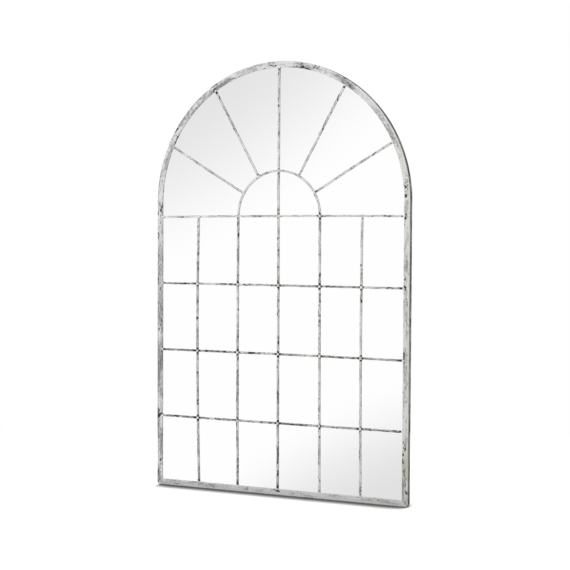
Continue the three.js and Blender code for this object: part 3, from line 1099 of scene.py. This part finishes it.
# A strip bent along the object's edges, repeated at its loose points
def bentTabTree():
    tree, given = newTree("bentTab", {
        "Width": "Float", "Thickness": "Float", "Bend": "Float", "Corner": "Float", "Material": "Material"})
    spots = addNode(tree, "GeometryNodeMeshToPoints", inputs={
        "Mesh": given.outputs["Geometry"], "Selection": named(tree, "isSeat")})
    line = addNode(tree, "GeometryNodeMeshToCurve", inputs={"Mesh": given.outputs["Geometry"]})
    bent = filleted(tree, line.outputs[0], retainingTab["bendSteps"], given.outputs["Bend"])
    facing = addNode(tree, "GeometryNodeSetCurveNormal", {"mode": "FREE"},
                     {"Curve": bent, "Normal": (0.0, 0.0, 1.0)})
    section = addNode(tree, "GeometryNodeCurvePrimitiveQuadrilateral", inputs={
        "Width": given.outputs["Width"], "Height": given.outputs["Thickness"]})
    eased = filleted(tree, section.outputs[0], retainingTab["cornerSteps"], given.outputs["Corner"])
    strip = addNode(tree, "GeometryNodeCurveToMesh", inputs={
        "Curve": facing.outputs[0], "Profile Curve": eased, "Fill Caps": True})
    angles = addNode(tree, "ShaderNodeCombineXYZ", inputs={"Y": named(tree, "turn")})
    rotation = addNode(tree, "FunctionNodeEulerToRotation", inputs={0: angles.outputs[0]})
    tabs = addNode(tree, "GeometryNodeInstanceOnPoints", inputs={
        "Points": spots.outputs[0], "Instance": strip.outputs[0], "Rotation": rotation.outputs[0]})
    return finishTree(tree, tabs.outputs[0], given)


# A tab's middle, and its turn about Y from lying along X
def tabSeat(node):
    centre = middle(node)
    if centre.z > sizes["spring"]:
        turn = math.atan2(centre.z - sizes["spring"], centre.x)
    elif centre.z < sizes["face"]:
        turn = -math.pi / 2
    else:
        turn = 0.0 if centre.x > 0 else math.pi
    return centre, -turn


def buildTabs():
    low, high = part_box("retaining_tab_1")
    reach, height, width = high.x - low.x, high.y - low.y, high.z - low.z
    inset = retainingTab["thickness"] / 2
    path = [(reach / 2 - inset, height / 2, 0), (reach / 2 - inset, inset - height / 2, 0),
            (-reach / 2, inset - height / 2, 0)]
    nodes = [f"retaining_tab_{i + 1}" for i in range(retainingTab["count"])]
    places = [tabSeat(node) for node in nodes]
    mesh = bpy.data.meshes.new("tabs")
    mesh.from_pydata(path + [tuple(centre) for centre, _ in places], [(0, 1), (1, 2)], [])
    writeAttribute(mesh, "isSeat", "FLOAT", [0.0] * len(path) + [1.0] * len(places))
    writeAttribute(mesh, "turn", "FLOAT", [0.0] * len(path) + [turn for _, turn in places])
    tabs = newObject("retainingTabs", mesh)
    applyTree(tabs, bentTabTree(), {
        "Width": width, "Thickness": retainingTab["thickness"], "Bend": retainingTab["bend"],
        "Corner": retainingTab["corner"], "Material": paintedSteel})
    markBrush(tabs.data)
    finishPiece(tabs, "aged_white_steel", *nodes)


buildTabs()
print("tabs bent")

hangerFinish = {
    "plateEdge": 0.0006,
    "saddleEdge": 0.00025,
    "edgeSteps": 3,
    "mergeBelow": 0.00001,  # corners nearer than this are one
    # degrees: faces that turn less are one, edges that turn more are eased, and what is then crisp
    "flatWithin": 1,
    "easedFrom": 40,
    "crispFrom": 35,
    "ringBend": 0.004,
    "wireSides": 8,
    "bendSteps": 8,
    "roundSteps": 24,
    # the two marks that spot welding leaves on each foot of a saddle
    "spot": (0.0015, 0.00022, 0.0015),
    "spotApart": 0.0050,
    "spotFromEnd": 0.0040,
    "strap": 0.0012,  # thickness of the saddle
    "spotDent": 0.00012,
    "spotDentLength": 0.0009,
}


# The node's own shape with its corners eased
def easedCopy(node, name, width, material):
    mesh = frame["nodes"][node].data.copy()
    work = bmesh.new()
    work.from_mesh(mesh)
    bmesh.ops.remove_doubles(work, verts=work.verts, dist=hangerFinish["mergeBelow"])
    flat = math.radians(hangerFinish["flatWithin"])
    bmesh.ops.dissolve_limit(work, angle_limit=flat, verts=work.verts, edges=work.edges)
    bmesh.ops.recalc_face_normals(work, faces=work.faces)
    turned = math.radians(hangerFinish["easedFrom"])
    sharp = [edge for edge in work.edges if edge.calc_face_angle(0) > turned]
    bmesh.ops.bevel(work, geom=sharp, offset=width, segments=hangerFinish["edgeSteps"], profile=0.5,
                    affect="EDGES", clamp_overlap=True)
    for face in work.faces:
        face.smooth = True
    plain = bpy.data.meshes.new(name)
    work.to_mesh(plain)
    work.free()
    plain.set_sharp_from_angle(angle=math.radians(hangerFinish["crispFrom"]))
    plain.materials.append(material)
    return newObject(name, plain)


def ringLine(node):
    low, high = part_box(node)
    wire = (high.y - low.y) / 2
    half = (high.x - low.x) / 2 - wire
    top, bottom = high.z - wire, low.z + wire
    centre = (low + high) / 2
    bend, steps, rounds = [hangerFinish[key] for key in ("ringBend", "bendSteps", "roundSteps")]
    points = []
    for side, first in ((1, 0), (-1, 90)):
        for i in range(steps + 1):
            a = math.radians(first + 90 * i / steps)
            points.append((side * (half - bend) + bend * math.cos(a), top - bend + bend * math.sin(a)))
    for i in range(rounds + 1):
        a = math.pi + math.pi * i / rounds
        points.append((half * math.cos(a), bottom + half + half * math.sin(a)))
    return [(centre.x + x, centre.y, z) for x, z in points], wire


def bentRing(node, name):
    points, wire = ringLine(node)
    curve = bpy.data.curves.new(name, "CURVE")
    curve.dimensions = "3D"
    curve.bevel_depth = wire
    curve.bevel_resolution = hangerFinish["wireSides"]
    spline = curve.splines.new("POLY")
    spline.points.add(len(points) - 1)
    for spot, place in zip(spline.points, points):
        spot.co = (*place, 1.0)
    spline.use_cyclic_u = True
    sketch = newObject(name + "Line", curve)
    mesh = bpy.data.meshes.new_from_object(sketch.evaluated_get(bpy.context.evaluated_depsgraph_get()))
    bpy.data.objects.remove(sketch)
    for face in mesh.polygons:
        face.use_smooth = True
    mesh.materials.clear()
    mesh.materials.append(platedWire)
    return newObject(name, mesh)


def buildSpotWelds():
    spots = []
    for side in ("left", "right"):
        low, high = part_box(f"ring_saddle_{side}")
        across, y = (low.x + high.x) / 2, low.y + hangerFinish["strap"]
        for z in (low.z + hangerFinish["spotFromEnd"], high.z - hangerFinish["spotFromEnd"]):
            spots += [Vector((across + sign * hangerFinish["spotApart"] / 2, y, z)) for sign in (-1, 1)]
    mesh = bpy.data.meshes.new("spotWelds")
    mesh.from_pydata(spots, [], [])
    writeAttribute(mesh, "beadSize", "FLOAT_VECTOR", [hangerFinish["spot"]] * len(spots))
    marks = newObject("spotWelds", mesh)
    applyTree(marks, bpy.data.node_groups["weldBead"], {
        "Dent": hangerFinish["spotDent"], "Dent Length": hangerFinish["spotDentLength"],
        "Material": platedWire})
    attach(marks, "frame")


def buildHangers():
    for side in ("left", "right"):
        name = side.capitalize()
        plate = easedCopy(f"hanger_plate_{side}", f"hangerPlate{name}",
                          hangerFinish["plateEdge"], paintedSteel)
        markBrush(plate.data)
        finishPiece(plate, "aged_white_steel", f"hanger_plate_{side}")
        saddle = easedCopy(f"ring_saddle_{side}", f"ringSaddle{name}",
                           hangerFinish["saddleEdge"], platedWire)
        finishPiece(saddle, "zinc_steel", f"ring_saddle_{side}")
        ring = bentRing(f"hanging_ring_{side}", f"hangingRing{name}")
        finishPiece(ring, "zinc_steel", f"hanging_ring_{side}")


buildHangers()
buildSpotWelds()
print("hangers made")

# The glass and the board are flat sheets, as packed
for node, material in {"mirror_glass": glassSilver, "backing_board": boardFibre}.items():
    sheetMesh = frame["nodes"][node].data
    sheetMesh.materials.clear()
    sheetMesh.materials.append(material)
print("glass and board finished")

bpy.context.scene.view_settings.view_transform = "Standard"
